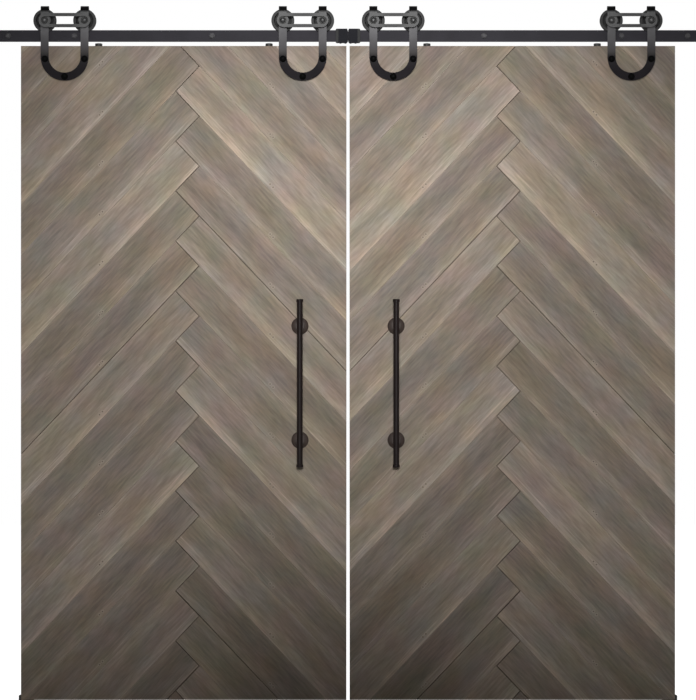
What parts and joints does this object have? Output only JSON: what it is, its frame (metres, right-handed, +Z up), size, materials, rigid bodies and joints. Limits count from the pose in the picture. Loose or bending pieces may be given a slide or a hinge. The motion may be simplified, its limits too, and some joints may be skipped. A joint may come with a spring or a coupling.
{
  "type": "double sliding barn doors",
  "caption": "Pair of sliding barn doors clad in herringbone planks, hung by horseshoe hangers with grooved wheels from a flat wall rail, with pull handles, stops and floor guides.",
  "frame": {"origin": "on the wall's face, at the rail's mid height, above the gap between the closed doors", "axes": "+X along the wall to the right as seen from the front, +Y into the wall, +Z up"},
  "size_m": [4.2672, 0.1524, 2.3103],
  "materials": {
    "axle_steel": "dark phosphated steel",
    "black_screws": "black oxide",
    "board_wood": "stained veneer, matt",
    "bolt_black": "black oxide",
    "bumper_rubber": "matt",
    "bush_bronze": "sintered bronze",
    "disc_nylon": "matt",
    "guide_paint": "satin black powder coat",
    "handle_paint": "satin dark bronze powder coat",
    "link_paint": "satin dark grey powder coat",
    "plank_wood": "stained and brushed, matt",
    "rail_paint": "satin black powder coat",
    "stanchion_paint": "satin dark bronze powder coat",
    "stop_paint": "satin black powder coat",
    "strap_paint": "satin black powder coat",
    "wheel_paint": "satin black powder coat",
    "zinc_steel": "zinc plated"
  },
  "bodies": {
    "track": {"centre_stop_left": "stop_paint", "centre_stop_right": "stop_paint", "end_stop_left": "stop_paint", "end_stop_right": "stop_paint", "floor_guide_left": "guide_paint", "floor_guide_right": "guide_paint", "floor_guide_screws": "zinc_steel", "lag_screws": "black_screws", "lag_washers": "black_screws", "rail_left": "rail_paint", "rail_right": "rail_paint", "rail_splice_plate": "rail_paint", "rail_standoffs": "rail_paint", "splice_screws": "black_screws", "stop_bumpers": "bumper_rubber", "stop_set_screws": "black_screws"},
    "door_left": {"anti_jump_discs_left": "disc_nylon", "anti_jump_screws_left": "black_screws", "axle_bolts_left": "axle_steel", "axle_bushes_left": "bush_bronze", "axle_nuts_left": "zinc_steel", "board_left": "board_wood", "handle_bar_left": "handle_paint", "handle_bolts_left": "zinc_steel", "handle_stanchions_left": "stanchion_paint", "link_plate_left_inner": "link_paint", "link_plate_left_outer": "link_paint", "planks_left_inner": "plank_wood", "planks_left_outer": "plank_wood", "strap_bolts_left": "bolt_black", "strap_left_inner": "strap_paint", "strap_left_outer": "strap_paint", "strap_nuts_left": "zinc_steel"},
    "door_right": {"anti_jump_discs_right": "disc_nylon", "anti_jump_screws_right": "black_screws", "axle_bolts_right": "axle_steel", "axle_bushes_right": "bush_bronze", "axle_nuts_right": "zinc_steel", "board_right": "board_wood", "handle_bar_right": "handle_paint", "handle_bolts_right": "zinc_steel", "handle_stanchions_right": "stanchion_paint", "link_plate_right_inner": "link_paint", "link_plate_right_outer": "link_paint", "planks_right_inner": "plank_wood", "planks_right_outer": "plank_wood", "strap_bolts_right": "bolt_black", "strap_nuts_right": "zinc_steel", "strap_right_inner": "strap_paint", "strap_right_outer": "strap_paint"},
    "wheel_left_1": {"wheel_left_1": "wheel_paint"},
    "wheel_left_2": {"wheel_left_2": "wheel_paint"},
    "wheel_left_3": {"wheel_left_3": "wheel_paint"},
    "wheel_left_4": {"wheel_left_4": "wheel_paint"},
    "wheel_right_1": {"wheel_right_1": "wheel_paint"},
    "wheel_right_2": {"wheel_right_2": "wheel_paint"},
    "wheel_right_3": {"wheel_right_3": "wheel_paint"},
    "wheel_right_4": {"wheel_right_4": "wheel_paint"}
  },
  "joints": [
    {"name": "door_left_slide", "type": "slide", "parent": "track", "child": "door_left", "axis": [-1, 0, 0], "range_m": [-0.005, 1.03]},
    {"name": "wheel_left_1_spin", "type": "hinge", "parent": "door_left", "child": "wheel_left_1", "pos_m": [-0.0827, -0.04118, 0.05005], "axis": [0, 1, 0], "continuous": true},
    {"name": "wheel_left_2_spin", "type": "hinge", "parent": "door_left", "child": "wheel_left_2", "pos_m": [-0.2127, -0.04118, 0.05005], "axis": [0, 1, 0], "continuous": true},
    {"name": "wheel_left_3_spin", "type": "hinge", "parent": "door_left", "child": "wheel_left_3", "pos_m": [-0.8593, -0.04118, 0.05005], "axis": [0, 1, 0], "continuous": true},
    {"name": "wheel_left_4_spin", "type": "hinge", "parent": "door_left", "child": "wheel_left_4", "pos_m": [-0.9893, -0.04118, 0.05005], "axis": [0, 1, 0], "continuous": true},
    {"name": "door_right_slide", "type": "slide", "parent": "track", "child": "door_right", "axis": [1, 0, 0], "range_m": [-0.005, 1.03]},
    {"name": "wheel_right_1_spin", "type": "hinge", "parent": "door_right", "child": "wheel_right_1", "pos_m": [0.0827, -0.04118, 0.05005], "axis": [0, 1, 0], "continuous": true},
    {"name": "wheel_right_2_spin", "type": "hinge", "parent": "door_right", "child": "wheel_right_2", "pos_m": [0.2127, -0.04118, 0.05005], "axis": [0, 1, 0], "continuous": true},
    {"name": "wheel_right_3_spin", "type": "hinge", "parent": "door_right", "child": "wheel_right_3", "pos_m": [0.8593, -0.04118, 0.05005], "axis": [0, 1, 0], "continuous": true},
    {"name": "wheel_right_4_spin", "type": "hinge", "parent": "door_right", "child": "wheel_right_4", "pos_m": [0.9893, -0.04118, 0.05005], "axis": [0, 1, 0], "continuous": true}
  ],
  "couplings": [
    {"joint": "wheel_left_1_spin", "follows": "door_left_slide", "rad_per_m": -32.258},
    {"joint": "wheel_left_2_spin", "follows": "door_left_slide", "rad_per_m": -32.258},
    {"joint": "wheel_left_3_spin", "follows": "door_left_slide", "rad_per_m": -32.258},
    {"joint": "wheel_left_4_spin", "follows": "door_left_slide", "rad_per_m": -32.258},
    {"joint": "wheel_right_1_spin", "follows": "door_right_slide", "rad_per_m": 32.258},
    {"joint": "wheel_right_2_spin", "follows": "door_right_slide", "rad_per_m": 32.258},
    {"joint": "wheel_right_3_spin", "follows": "door_right_slide", "rad_per_m": 32.258},
    {"joint": "wheel_right_4_spin", "follows": "door_right_slide", "rad_per_m": 32.258}
  ]
}
